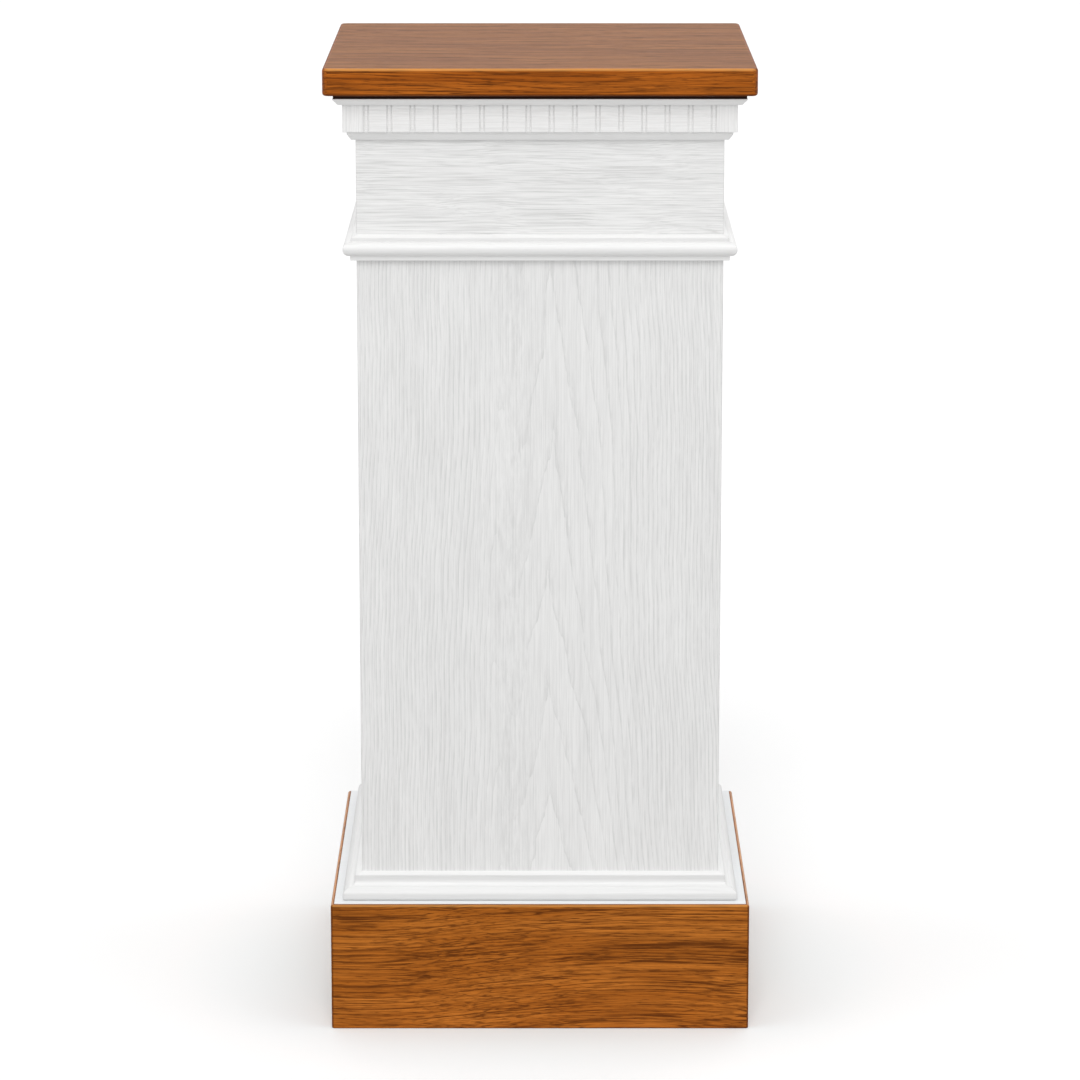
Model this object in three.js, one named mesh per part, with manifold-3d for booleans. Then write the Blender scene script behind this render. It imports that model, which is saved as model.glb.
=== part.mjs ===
// A square pedestal column: a stained slab top on a painted box column with planted
// mouldings, standing in a stained, mitred plinth.
// Millimetres, +Z up. The front faces -Y. The origin is the middle of the footprint, on the floor.
import * as THREE from 'three';
import { mergeVertices } from 'three/addons/utils/BufferGeometryUtils.js';
import Module from 'manifold-3d';

const manifold = await Module();
manifold.setup();

// Overall
const overallHeight = 914;
const columnWidth = 338; // face to face, the same on the shaft and on the frieze
const boardThickness = 18; // shaft and frieze boards
const mitreGap = 0.3; // glue line where two mitred ends meet, measured along the run
const looseFit = 0.3; // clearance on every side of a spline or a screw

// Slab top and the thin panel under it
const slabOverhang = 29; // past the face of the frieze
const slabThickness = 25.4;
const slabArris = 2.8; // rounding of the top and bottom edges
const slabCornerRadius = 3.4;
const subtopThickness = 3.4;
const subtopSetback = 0.5; // behind the lip of the crown

// Crown moulding, a splay with a lip
const crownHeight = 6.1;
const crownLip = 0.8; // upright edge at the top
const crownStep = 3.6; // its foot stands this far past the dentils
const crownFlare = 4.8; // its lip stands this far past its foot

// Dentil course
const dentilHeight = 25.5;
const dentilBacking = 9.4; // thickness of the strip behind the gaps
const dentilRelief = 2.2; // how far the dentils stand off the backing
const dentilWidth = 16.2;
const dentilGap = 5;
const cornerBlockWidth = 19.5;

// Bed moulding, a splay with a lip
const bedHeight = 7.8;
const bedLip = 2.2;
const bedSetback = 3.9; // its top stands this far behind the faces of the dentils
const bedFlare = 3.9; // its top stands this far past its foot

// Frieze
const friezeHeight = 87.8; // what shows between the bed moulding and the astragal

// Astragal, from its lower edge up
const neckFilletHeight = 4.4;
const neckFilletProjection = 5.6;
const beadRadius = 6.5;
const beadProjection = 12.4;
const topFilletHeight = 3.4;
const topFilletProjection = 5;
const astragalWash = 2.8; // rise of the sloping top
const washLedge = 0.4; // flat left at the back of a sloping top

// Base cap, from its lower edge up
const heelHeight = 3.2; // rounded lower edge
const heelDepth = 2.2;
const shoulderProjection = 17.8;
const shoulderFace = 2.6; // upright between the heel and the shoulder
const shoulderHeight = 6.4; // swelling upper edge
const shoulderDepth = 5.4;
const coveHeight = 4;
const coveDepth = 5;
const capFilletHeight = 5.9;
const capFilletProjection = 6.6;
const capWash = 2.4;

// Thin painted panel that covers the plinth, with a window for the shaft
const lidThickness = 0.8;
const lidSetback = 3.2; // behind the face of the plinth, clear of its rounded edge

// Plinth
const plinthHeight = 122.4;
const plinthBoardThickness = 22;
const plinthArris = 2.4; // rounding of the upper edge
const plinthHeelArris = 1.2; // rounding of the edge at the floor
const plinthCornerRadius = 2.6;
const groundThickness = 7; // packing between the shaft and the plinth boards
const splineThickness = 4;
const splineWidth = 16;
const splineInset = 12; // from the inner corner, along the mitre, to the spline's middle
const splineStop = 18; // the slot ends this far below the upper edge
const slotRunOut = 2; // a cutter goes this far past the face it enters

// Carcass
const postSize = 28;
const cleatWidth = 24;
const cleatHeight = 22;
const screwRadius = 2.25;
const screwLength = 40;
const screwHeadRadius = 4.6;
const screwHeadHeight = 3;

// Facets
const arcSteps = 5;
const beadSteps = 12;
const roundSides = 16;

// Half widths and stand-offs from the column's face
const columnHalf = columnWidth / 2;
const columnInner = columnHalf - boardThickness;
const slabHalf = columnHalf + slabOverhang;
const dentilProjection = dentilBacking + dentilRelief;
const crownFoot = dentilProjection + crownStep;
const crownProjection = crownFoot + crownFlare;
const bedProjection = dentilProjection - bedSetback;
const plinthProjection = groundThickness + plinthBoardThickness;

// Levels
const slabLevel = overallHeight - slabThickness;
const subtopLevel = slabLevel - subtopThickness;
const crownLevel = subtopLevel - crownHeight;
const dentilLevel = crownLevel - dentilHeight;
const bedLevel = dentilLevel - bedHeight;
const friezeLevel = bedLevel - friezeHeight;
const beadTop = neckFilletHeight + 2 * beadRadius;
const astragalHeight = beadTop + topFilletHeight + astragalWash;
const astragalLevel = friezeLevel - astragalHeight;
const boardJointLevel = astragalLevel + astragalHeight / 2; // shaft meets frieze behind the astragal
const baseCapLevel = plinthHeight + lidThickness;
const screwHeadLevel = subtopLevel - cleatHeight;
const splineTop = plinthHeight - splineStop;

const stainedOak = { color: 0x9b521c, roughness: 0.35, metalness: 0 };
const darkStain = { color: 0x2e1509, roughness: 0.5, metalness: 0 };
const whitePaint = { color: 0xe6e6e4, roughness: 0.55, metalness: 0 };
const plainPine = { color: 0xc9a674, roughness: 0.8, metalness: 0 };
const birchPly = { color: 0xd2b48a, roughness: 0.8, metalness: 0 };
const zincSteel = { color: 0xb4b6b8, roughness: 0.35, metalness: 1 };

const sideNames = ['front', 'right', 'back', 'left'];
const cornerNames = ['front_right', 'back_right', 'back_left', 'front_left'];

function named(name, geometry, finish, level = 0) {
  const mesh = new THREE.Mesh(geometry, new THREE.MeshStandardMaterial(finish));
  mesh.name = name;
  mesh.position.z = level;
  return mesh;
}

function toSolid(geometry) {
  const bare = geometry.clone();
  bare.deleteAttribute('normal');
  bare.deleteAttribute('uv');
  const merged = mergeVertices(bare);
  const vertProperties = new Float32Array(merged.attributes.position.array);
  const triVerts = new Uint32Array(merged.index.array);
  return new manifold.Manifold(new manifold.Mesh({ numProp: 3, vertProperties, triVerts }));
}

function toGeometry(solid) {
  const mesh = solid.getMesh();
  const geometry = new THREE.BufferGeometry();
  geometry.setAttribute('position', new THREE.BufferAttribute(mesh.vertProperties, 3));
  geometry.setIndex(new THREE.BufferAttribute(mesh.triVerts, 1));
  geometry.computeVertexNormals();
  return geometry;
}

function cutAway(geometry, tools) {
  let solid = toSolid(geometry);
  for (const tool of tools) {
    solid = solid.subtract(toSolid(tool));
  }
  return toGeometry(solid);
}

function block(width, depth, height, x, y, z) {
  const geometry = new THREE.BoxGeometry(width, depth, height);
  geometry.translate(x, y, z + height / 2);
  return geometry;
}

function upright(radius, height, x, y, z) {
  const geometry = new THREE.CylinderGeometry(radius, radius, height, roundSides);
  geometry.rotateX(Math.PI / 2);
  geometry.translate(x, y, z + height / 2);
  return geometry;
}

function prism(shape, height) {
  const settings = { depth: height, bevelEnabled: false, curveSegments: arcSteps };
  return new THREE.ExtrudeGeometry(shape, settings);
}

function squareOutline(path, half) {
  path.moveTo(-half, -half);
  path.lineTo(half, -half);
  path.lineTo(half, half);
  path.lineTo(-half, half);
  path.closePath();
  return path;
}

function roundedSquare(half, radius) {
  const shape = new THREE.Shape();
  const straight = half - radius;
  shape.moveTo(-straight, -half);
  shape.lineTo(straight, -half);
  shape.absarc(straight, -straight, radius, -Math.PI / 2, 0);
  shape.lineTo(half, straight);
  shape.absarc(straight, straight, radius, 0, Math.PI / 2);
  shape.lineTo(-straight, half);
  shape.absarc(-straight, straight, radius, Math.PI / 2, Math.PI);
  shape.lineTo(-half, -straight);
  shape.absarc(-straight, -straight, radius, Math.PI, 1.5 * Math.PI);
  return shape;
}

// Runs a profile along the front. Its X is how far a point stands off the column's face and its
// Y is the height. Both ends are mitred: a point that stands further out runs further along.
function mitredRun(profile, steps) {
  const settings = { depth: 1, bevelEnabled: false, curveSegments: steps };
  const geometry = new THREE.ExtrudeGeometry(profile, settings);
  const points = geometry.attributes.position;
  for (let i = 0; i < points.count; i += 1) {
    const standOff = columnHalf + points.getX(i);
    const height = points.getY(i);
    const end = points.getZ(i) > 0.5 ? -1 : 1;
    points.setXYZ(i, end * (standOff - mitreGap / 2), -standOff, height);
  }
  geometry.computeVertexNormals();
  return geometry;
}

function stripProfile(inner, outer, height) {
  const shape = new THREE.Shape();
  shape.moveTo(inner, 0);
  shape.lineTo(outer, 0);
  shape.lineTo(outer, height);
  shape.lineTo(inner, height);
  return shape;
}

function splayProfile(foot, flare, height, lip) {
  const shape = new THREE.Shape();
  shape.moveTo(0, 0);
  shape.lineTo(foot, 0);
  shape.lineTo(foot + flare, height - lip);
  shape.lineTo(foot + flare, height);
  shape.lineTo(0, height);
  return shape;
}

function astragalProfile() {
  const beadMiddle = beadProjection - beadRadius;
  const beadCentre = neckFilletHeight + beadRadius;
  const shape = new THREE.Shape();
  shape.moveTo(0, 0);
  shape.lineTo(neckFilletProjection, 0);
  shape.lineTo(neckFilletProjection, neckFilletHeight);
  shape.absarc(beadMiddle, beadCentre, beadRadius, -Math.PI / 2, Math.PI / 2, false);
  shape.lineTo(topFilletProjection, beadTop);
  shape.lineTo(topFilletProjection, beadTop + topFilletHeight);
  shape.lineTo(washLedge, astragalHeight);
  shape.lineTo(0, astragalHeight);
  return shape;
}

// Heel, face and swelling shoulder, then a cove up to the fillet, and a sloping top.
function baseCapProfile() {
  const heelMiddle = shoulderProjection - heelDepth;
  const shoulderBack = shoulderProjection - shoulderDepth;
  const shoulderLevel = heelHeight + shoulderFace;
  const shoulderSwell = shoulderLevel + shoulderHeight / 2;
  const shoulderTop = shoulderLevel + shoulderHeight;
  const coveTop = shoulderTop + coveHeight;
  const coveFoot = capFilletProjection + coveDepth;
  const filletTop = coveTop + capFilletHeight;
  const shape = new THREE.Shape();
  shape.moveTo(0, 0);
  shape.lineTo(heelMiddle, 0);
  shape.absellipse(heelMiddle, heelHeight, heelDepth, heelHeight, -Math.PI / 2, 0, false);
  shape.lineTo(shoulderProjection, shoulderLevel);
  shape.quadraticCurveTo(shoulderProjection, shoulderSwell, shoulderBack, shoulderTop);
  shape.absellipse(coveFoot, coveTop, coveDepth, coveHeight, -Math.PI / 2, -Math.PI, true);
  shape.lineTo(capFilletProjection, filletTop);
  shape.lineTo(washLedge, filletTop + capWash);
  shape.lineTo(0, filletTop + capWash);
  return shape;
}

function plinthProfile() {
  const heel = plinthProjection - plinthHeelArris;
  const brow = plinthProjection - plinthArris;
  const shape = new THREE.Shape();
  shape.moveTo(groundThickness, 0);
  shape.lineTo(heel, 0);
  shape.absarc(heel, plinthHeelArris, plinthHeelArris, -Math.PI / 2, 0);
  shape.lineTo(plinthProjection, plinthHeight - plinthArris);
  shape.absarc(brow, plinthHeight - plinthArris, plinthArris, 0, Math.PI / 2);
  shape.lineTo(groundThickness, plinthHeight);
  return shape;
}

// The comb of dentils and their backing is one milled strip, butted between two corner blocks.
function dentilStripGeometry() {
  const end = columnHalf + dentilProjection - cornerBlockWidth;
  const span = 2 * end;
  const count = Math.max(1, Math.round((span - dentilGap) / (dentilWidth + dentilGap)));
  const width = (span - (count + 1) * dentilGap) / count;
  const back = -columnHalf;
  const recess = back - dentilBacking;
  const face = back - dentilProjection;
  const shape = new THREE.Shape();
  shape.moveTo(-end, back);
  shape.lineTo(-end, recess);
  for (let i = 0; i < count; i += 1) {
    const start = -end + dentilGap + i * (width + dentilGap);
    shape.lineTo(start, recess);
    shape.lineTo(start, face);
    shape.lineTo(start + width, face);
    shape.lineTo(start + width, recess);
  }
  shape.lineTo(end, recess);
  shape.lineTo(end, back);
  return prism(shape, dentilHeight);
}

// Notched at the back so that it sits over the corner of the frieze.
function cornerBlockGeometry() {
  const outer = columnHalf + dentilProjection;
  const inner = outer - cornerBlockWidth;
  const shape = new THREE.Shape();
  shape.moveTo(inner, -outer);
  shape.lineTo(outer, -outer);
  shape.lineTo(outer, -inner);
  shape.lineTo(columnHalf, -inner);
  shape.lineTo(columnHalf, -columnHalf);
  shape.lineTo(inner, -columnHalf);
  return prism(shape, dentilHeight);
}

// Stands across the mitre at the front right corner, square to the joint.
function splineBar(width, thickness, bottom, top) {
  const middle = columnHalf + groundThickness + splineInset * Math.SQRT1_2;
  const geometry = new THREE.BoxGeometry(width, thickness, top - bottom);
  geometry.rotateZ(Math.PI / 4);
  geometry.translate(middle, -middle, (top + bottom) / 2);
  return geometry;
}

function splineSlot() {
  const width = splineWidth + 2 * looseFit;
  const thickness = splineThickness + 2 * looseFit;
  return splineBar(width, thickness, -slotRunOut, splineTop + looseFit);
}

function plinthBoardGeometry() {
  const slots = [splineSlot(), splineSlot().rotateZ(-Math.PI / 2)];
  const slotted = toSolid(cutAway(mitredRun(plinthProfile(), arcSteps), slots));
  const envelope = prism(roundedSquare(columnHalf + plinthProjection, plinthCornerRadius), plinthHeight);
  return toGeometry(slotted.intersect(toSolid(envelope)));
}

// The four packing pieces go round the shaft like a pinwheel, each butted against the next.
function groundGeometry() {
  const length = columnWidth + groundThickness;
  const y = -columnHalf - groundThickness / 2;
  return block(length, groundThickness, plinthHeight, groundThickness / 2, y, 0);
}

// The middle of the cleat's width, halfway along it.
function screwPoint() {
  return new THREE.Vector2(0, -columnInner + cleatWidth / 2);
}

function screwHole() {
  const point = screwPoint();
  const length = screwLength + slotRunOut + looseFit;
  return upright(screwRadius + looseFit, length, point.x, point.y, screwHeadLevel - slotRunOut);
}

function cleatGeometry() {
  const length = 2 * (columnInner - postSize);
  const y = -columnInner + cleatWidth / 2;
  const bar = block(length, cleatWidth, cleatHeight, 0, y, screwHeadLevel);
  return cutAway(bar, [screwHole()]);
}

// Domed head below, shank above: the head bears up against the cleat.
function screwGeometry() {
  const point = screwPoint();
  const profile = [];
  for (let i = 0; i <= arcSteps; i += 1) {
    const angle = (i / arcSteps) * (Math.PI / 2);
    const radius = screwHeadRadius * Math.sin(angle);
    profile.push(new THREE.Vector2(radius, -screwHeadHeight * Math.cos(angle)));
  }
  profile.push(new THREE.Vector2(screwRadius, 0));
  profile.push(new THREE.Vector2(screwRadius, screwLength - 2 * screwRadius));
  profile.push(new THREE.Vector2(0, screwLength));
  const geometry = new THREE.LatheGeometry(profile, roundSides);
  geometry.rotateX(Math.PI / 2);
  geometry.translate(point.x, point.y, screwHeadLevel);
  return geometry;
}

function quarterTurns(geometry) {
  return sideNames.map((name, turns) => geometry.clone().rotateZ((turns * Math.PI) / 2));
}

function slabGeometry() {
  const shape = roundedSquare(slabHalf - slabArris, slabCornerRadius);
  const slab = new THREE.ExtrudeGeometry(shape, {
    depth: slabThickness - 2 * slabArris,
    bevelEnabled: true,
    bevelSize: slabArris,
    bevelThickness: slabArris,
    bevelSegments: arcSteps,
    curveSegments: arcSteps,
  });
  slab.translate(0, 0, slabLevel + slabArris);
  return cutAway(slab, quarterTurns(screwHole()));
}

function subtopGeometry() {
  const width = 2 * (columnHalf + crownProjection - subtopSetback);
  const panel = block(width, width, subtopThickness, 0, 0, subtopLevel);
  return cutAway(panel, quarterTurns(screwHole()));
}

function lidGeometry() {
  const outer = columnHalf + plinthProjection - lidSetback;
  const shape = squareOutline(new THREE.Shape(), outer);
  shape.holes.push(squareOutline(new THREE.Path(), columnHalf + looseFit));
  return prism(shape, lidThickness);
}

// Mouldings planted on one face.
function addMouldings(group, side) {
  const crown = splayProfile(crownFoot, crownFlare, crownHeight, crownLip);
  const bed = splayProfile(bedProjection - bedFlare, bedFlare, bedHeight, bedLip);
  group.add(named(`crown_${side}`, mitredRun(crown, 1), whitePaint, crownLevel));
  group.add(named(`dentil_strip_${side}`, dentilStripGeometry(), whitePaint, dentilLevel));
  group.add(named(`bed_mould_${side}`, mitredRun(bed, 1), whitePaint, bedLevel));
  group.add(named(`astragal_${side}`, mitredRun(astragalProfile(), beadSteps), whitePaint, astragalLevel));
  group.add(named(`base_cap_${side}`, mitredRun(baseCapProfile(), arcSteps), whitePaint, baseCapLevel));
}

// Boards of one face, and what holds the slab down along it.
function addBoards(group, side) {
  const frieze = stripProfile(-boardThickness, 0, subtopLevel - boardJointLevel);
  const shaft = stripProfile(-boardThickness, 0, boardJointLevel);
  group.add(named(`frieze_board_${side}`, mitredRun(frieze, 1), whitePaint, boardJointLevel));
  group.add(named(`shaft_board_${side}`, mitredRun(shaft, 1), whitePaint));
  group.add(named(`plinth_board_${side}`, plinthBoardGeometry(), stainedOak));
  group.add(named(`plinth_ground_${side}`, groundGeometry(), birchPly));
  group.add(named(`top_cleat_${side}`, cleatGeometry(), plainPine));
  group.add(named(`slab_screw_${side}`, screwGeometry(), zincSteel));
}

// Pieces of the corner at the right-hand end of one face.
function addCorner(group, corner) {
  const postMiddle = columnInner - postSize / 2;
  const post = block(postSize, postSize, subtopLevel, postMiddle, -postMiddle, 0);
  const spline = splineBar(splineWidth, splineThickness, 0, splineTop);
  group.add(named(`dentil_corner_${corner}`, cornerBlockGeometry(), whitePaint, dentilLevel));
  group.add(named(`corner_post_${corner}`, post, plainPine));
  group.add(named(`plinth_spline_${corner}`, spline, birchPly));
}

function pedestal() {
  const group = new THREE.Group();
  group.add(named('top_slab', slabGeometry(), stainedOak));
  group.add(named('subtop_panel', subtopGeometry(), darkStain));
  group.add(named('plinth_lid', lidGeometry(), whitePaint, plinthHeight));
  sideNames.forEach((side, i) => {
    const quarter = new THREE.Group();
    quarter.rotation.z = (i * Math.PI) / 2;
    addMouldings(quarter, side);
    addBoards(quarter, side);
    addCorner(quarter, cornerNames[i]);
    group.add(quarter);
  });
  return group;
}

export default pedestal();
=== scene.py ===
import math
import random

import bmesh
import bpy
import numpy as np
from mathutils import Matrix, Vector


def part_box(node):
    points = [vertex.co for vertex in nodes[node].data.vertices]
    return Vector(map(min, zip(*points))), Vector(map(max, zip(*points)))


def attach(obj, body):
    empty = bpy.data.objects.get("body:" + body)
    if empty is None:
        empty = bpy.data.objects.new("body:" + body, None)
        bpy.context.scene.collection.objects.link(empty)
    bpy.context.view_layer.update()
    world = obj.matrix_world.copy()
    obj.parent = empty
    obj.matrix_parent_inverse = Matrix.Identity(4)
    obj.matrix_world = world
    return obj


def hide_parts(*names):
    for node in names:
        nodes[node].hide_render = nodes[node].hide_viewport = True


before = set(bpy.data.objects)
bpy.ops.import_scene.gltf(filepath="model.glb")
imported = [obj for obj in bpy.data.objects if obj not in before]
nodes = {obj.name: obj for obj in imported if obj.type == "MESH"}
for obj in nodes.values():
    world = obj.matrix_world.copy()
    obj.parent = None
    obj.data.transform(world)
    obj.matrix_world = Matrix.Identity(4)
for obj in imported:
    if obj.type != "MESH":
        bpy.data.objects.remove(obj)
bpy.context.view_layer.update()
print("frame loaded:", len(nodes), "nodes")

scene = bpy.context.scene
sides = ["front", "right", "back", "left"]
corners = ["front_right", "back_right", "back_left", "front_left"]
columnHalf = -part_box("shaft_board_front")[0].y   # axis to the face of the shaft
mitreGap = 0.0003                                # glue line between two mitred ends
chance = random.Random(11)                       # one fixed stream for the grain offsets that are drawn


# camera, light and floor

cameraSettings = {
    "place": (0.0, -4.2, 1.3736),
    "pitchDown": 12.638,
    "lens": 147.36,
    "sensor": 36.0,
}

lightSettings = {
    "ambient": 0.50,
    "lamps": [
        # name, brightness, how soft in degrees, the way its light comes from
        ("keyFront", 0.75, 30, (-0.03, -1.0, 0.80)),
        ("highFront", 0.42, 18, (-0.03, -1.0, 1.28)),
        ("lowFront", 0.33, 50, (0.1, -1.0, 0.15)),
        ("overhead", 0.35, 60, (0.0, 0.0, 1.0)),
        ("leftFill", 0.36, 60, (-1.0, -0.2, 0.6)),
        ("rightFill", 0.32, 60, (1.0, -0.2, 0.6)),
        ("backFill", 0.44, 60, (0.1, 1.0, 0.6)),
    ],
}

floorSettings = {
    "size": 60.0,
    # painted cool near the plinth, to cancel the brown light that it bounces onto the floor
    "seenNear": (0.920, 0.985, 1.0, 1),   # what the camera sees: cool by the brown plinth
    "seenFar": (1.0, 1.0, 1.0, 1),
    "seenFrom": 0.22,
    "seenTo": 0.36,
    "bounceNear": 0.90,                   # what it sends back up to the stand from the plinth's foot,
    "bounceRing": 0.44,                   # from a ring round it
    "bounceFar": 0.76,                    # and from farther out
    "bounceReach": (0.23, 0.50, 0.84, 1.50),
}


def addCamera(cfg):
    data = bpy.data.cameras.new("photoCamera")
    data.lens = cfg["lens"]
    data.sensor_width = cfg["sensor"]
    camera = bpy.data.objects.new("photoCamera", data)
    camera.location = cfg["place"]
    camera.rotation_euler = (math.radians(90 - cfg["pitchDown"]), 0, 0)
    scene.collection.objects.link(camera)
    scene.camera = camera


def addLamps(cfg):
    for name, brightness, softness, comesFrom in cfg["lamps"]:
        data = bpy.data.lights.new(name, "SUN")
        data.energy = brightness
        data.angle = math.radians(softness)
        lamp = bpy.data.objects.new(name, data)
        lamp.rotation_euler = Vector(comesFrom).to_track_quat("Z", "Y").to_euler()
        scene.collection.objects.link(lamp)


def addWorld(cfg):
    world = bpy.data.worlds.new("studio")
    scene.world = world
    world.use_nodes = True
    tree = world.node_tree
    tree.nodes.clear()
    path = tree.nodes.new("ShaderNodeLightPath")
    seen = mathNode(tree, "ADD", path.outputs["Is Camera Ray"], path.outputs["Is Glossy Ray"])
    seen = mathNode(tree, "ADD", seen, path.outputs["Is Transmission Ray"])
    soft = tree.nodes.new("ShaderNodeBackground")
    soft.inputs["Color"].default_value = (1, 1, 1, 1)
    soft.inputs["Strength"].default_value = cfg["ambient"]
    white = tree.nodes.new("ShaderNodeBackground")
    white.inputs["Color"].default_value = (1, 1, 1, 1)
    mix = tree.nodes.new("ShaderNodeMixShader")
    out = tree.nodes.new("ShaderNodeOutputWorld")
    tree.links.new(seen, mix.inputs[0])
    tree.links.new(soft.outputs[0], mix.inputs[1])
    tree.links.new(white.outputs[0], mix.inputs[2])
    tree.links.new(mix.outputs[0], out.inputs["Surface"])


def addFloor(cfg):
    mesh = bpy.data.meshes.new("studioFloor")
    half = cfg["size"] / 2
    outline = [(-half, -half, 0), (half, -half, 0), (half, half, 0), (-half, half, 0)]
    mesh.from_pydata(outline, [], [(0, 1, 2, 3)])
    floor = bpy.data.objects.new("studioFloor", mesh)
    scene.collection.objects.link(floor)
    mat = bpy.data.materials.new("paleFloor")
    mat.use_nodes = True
    tree = mat.node_tree
    tree.nodes.clear()
    x, y = split(tree, objectVector(tree))[:2]
    reach = mathNode(tree, "SQRT", addUp(tree, times(tree, x, x), times(tree, y, y)))
    nearEnd, ringStart, ringEnd, farStart = cfg["bounceReach"]
    rise = cfg["bounceFar"] - cfg["bounceRing"]
    bounce = addUp(
        tree,
        mapRange(tree, reach, nearEnd, ringStart, cfg["bounceNear"], cfg["bounceRing"], smooth=True),
        mapRange(tree, reach, ringEnd, farStart, 0.0, rise, smooth=True),
    )
    away = mapRange(tree, reach, cfg["seenFrom"], cfg["seenTo"])
    seen = mixColour(tree, away, cfg["seenNear"], cfg["seenFar"])
    path = tree.nodes.new("ShaderNodeLightPath")
    tone = mixColour(tree, path.outputs["Is Camera Ray"], bounce, seen)
    matt = tree.nodes.new("ShaderNodeBsdfDiffuse")
    out = tree.nodes.new("ShaderNodeOutputMaterial")
    tree.links.new(tone, matt.inputs["Color"])
    tree.links.new(matt.outputs[0], out.inputs["Surface"])
    mesh.materials.append(mat)


# small helpers for shader trees

def feed(tree, socket, value):
    if isinstance(value, bpy.types.NodeSocket):
        tree.links.new(value, socket)
    else:
        socket.default_value = value


def mathNode(tree, operation, a, b=0.0, c=0.0):
    made = tree.nodes.new("ShaderNodeMath")
    made.operation = operation
    for socket, value in zip(made.inputs, (a, b, c)):
        feed(tree, socket, value)
    return made.outputs[0]


def addUp(tree, *values):
    total = values[0]
    for value in values[1:]:
        total = mathNode(tree, "ADD", total, value)
    return total


def times(tree, *values):
    total = values[0]
    for value in values[1:]:
        total = mathNode(tree, "MULTIPLY", total, value)
    return total


def mapRange(tree, value, low, high, toLow=0.0, toHigh=1.0, smooth=False):
    made = tree.nodes.new("ShaderNodeMapRange")
    made.interpolation_type = "SMOOTHSTEP" if smooth else "LINEAR"
    names = ("Value", "From Min", "From Max", "To Min", "To Max")
    for name, number in zip(names, (value, low, high, toLow, toHigh)):
        feed(tree, made.inputs[name], number)
    return made.outputs["Result"]


def mixColour(tree, factor, a, b, blend="MIX"):
    made = tree.nodes.new("ShaderNodeMix")
    made.data_type = "RGBA"
    made.blend_type = blend
    feed(tree, made.inputs["Factor"], factor)
    feed(tree, made.inputs["A"], a)
    feed(tree, made.inputs["B"], b)
    return made.outputs["Result"]


def scaled(tree, vector, scale):
    made = tree.nodes.new("ShaderNodeVectorMath")
    made.operation = "MULTIPLY"
    feed(tree, made.inputs[0], vector)
    made.inputs[1].default_value = scale
    return made.outputs[0]


def noise(tree, vector, scale, detail=2.0, rough=0.5, distortion=0.0):
    made = tree.nodes.new("ShaderNodeTexNoise")
    feed(tree, made.inputs["Vector"], scaled(tree, vector, scale))
    made.inputs["Scale"].default_value = 1.0
    made.inputs["Detail"].default_value = detail
    made.inputs["Roughness"].default_value = rough
    made.inputs["Distortion"].default_value = distortion
    return made.outputs["Fac"]


def split(tree, vector):
    made = tree.nodes.new("ShaderNodeSeparateXYZ")
    feed(tree, made.inputs[0], vector)
    return made.outputs[0], made.outputs[1], made.outputs[2]


def boardVector(tree):
    made = tree.nodes.new("ShaderNodeAttribute")
    made.attribute_name = "board"     # along the grain, across it, into the thickness
    return made.outputs["Vector"]


def objectVector(tree):
    return tree.nodes.new("ShaderNodeTexCoord").outputs["Object"]


def startMaterial(name, roughness, specular=0.5, metallic=0.0):
    mat = bpy.data.materials.new(name)
    mat.use_nodes = True
    tree = mat.node_tree
    shader = tree.nodes["Principled BSDF"]
    shader.inputs["Roughness"].default_value = roughness
    shader.inputs["Specular IOR Level"].default_value = specular
    shader.inputs["Metallic"].default_value = metallic
    return mat, tree, shader


def addBump(tree, shader, height, depth):
    bump = tree.nodes.new("ShaderNodeBump")
    bump.inputs["Distance"].default_value = depth
    tree.links.new(height, bump.inputs["Height"])
    tree.links.new(bump.outputs["Normal"], shader.inputs["Normal"])


# finishes

plinthStain = {
    "base": (0.422, 0.123, 0.0142, 1),
    "light": (0.600, 0.197, 0.029, 1),
    "dark": (0.115, 0.027, 0.0035, 1),
    "pore": (0.075, 0.017, 0.0025, 1),
    # painted highlight along the upper arris, with the stain rubbed thin there
    "rubbedAndHighlit": (0.700, 0.330, 0.090, 1),
    "rubAndHighlight": 0.42,
    "linesAcross": 165.0,    # growth lines a metre
    "linesDeep": 60.0,
    "flow": 0.056,           # how far the lines swing across the board
    "band": 0.80,
    "fine": (2.6, 200, 200),   # how the fine streaks are drawn out along the board
    "finer": (5, 420, 420),
    "streak": 1.45,
    "topFigure": 0.7,        # how strongly the figure shows on the upper face
    # painted shade on the upper face, which the lamps light more; its cool tint holds back the pink of its
    # sheen
    "topPaintedShade": (0.60, 0.62, 0.80, 1),
    "roughness": 0.40,
    "topRoughness": 0.62,
    "specular": 0.30,
    "specularTint": (1.0, 0.50, 0.16, 1),
}

slabStain = {
    "base": (0.360, 0.084, 0.0065, 1),
    "light": (0.545, 0.150, 0.016, 1),
    "dark": (0.105, 0.022, 0.0025, 1),
    "pore": (0.070, 0.014, 0.0020, 1),
    # painted highlight along the upper arris, with the stain rubbed thin there
    "rubbedAndHighlit": (0.760, 0.360, 0.100, 1),
    "rubAndHighlight": 0.62,
    "linesAcross": 34.0,
    "linesDeep": 200.0,
    "flow": 0.024,
    "band": 0.85,
    "fine": (2.8, 180, 240),
    "finer": (5, 400, 480),
    "streak": 1.35,
    "topFigure": 0.75,
    # painted shade on the upper face, which the lamps light more
    "topPaintedShade": (0.60, 0.77, 1.0, 1),
    "roughness": 0.40,
    "topRoughness": 0.60,
    "specular": 0.36,
    "specularTint": (1.0, 0.50, 0.16, 1),
}

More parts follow.
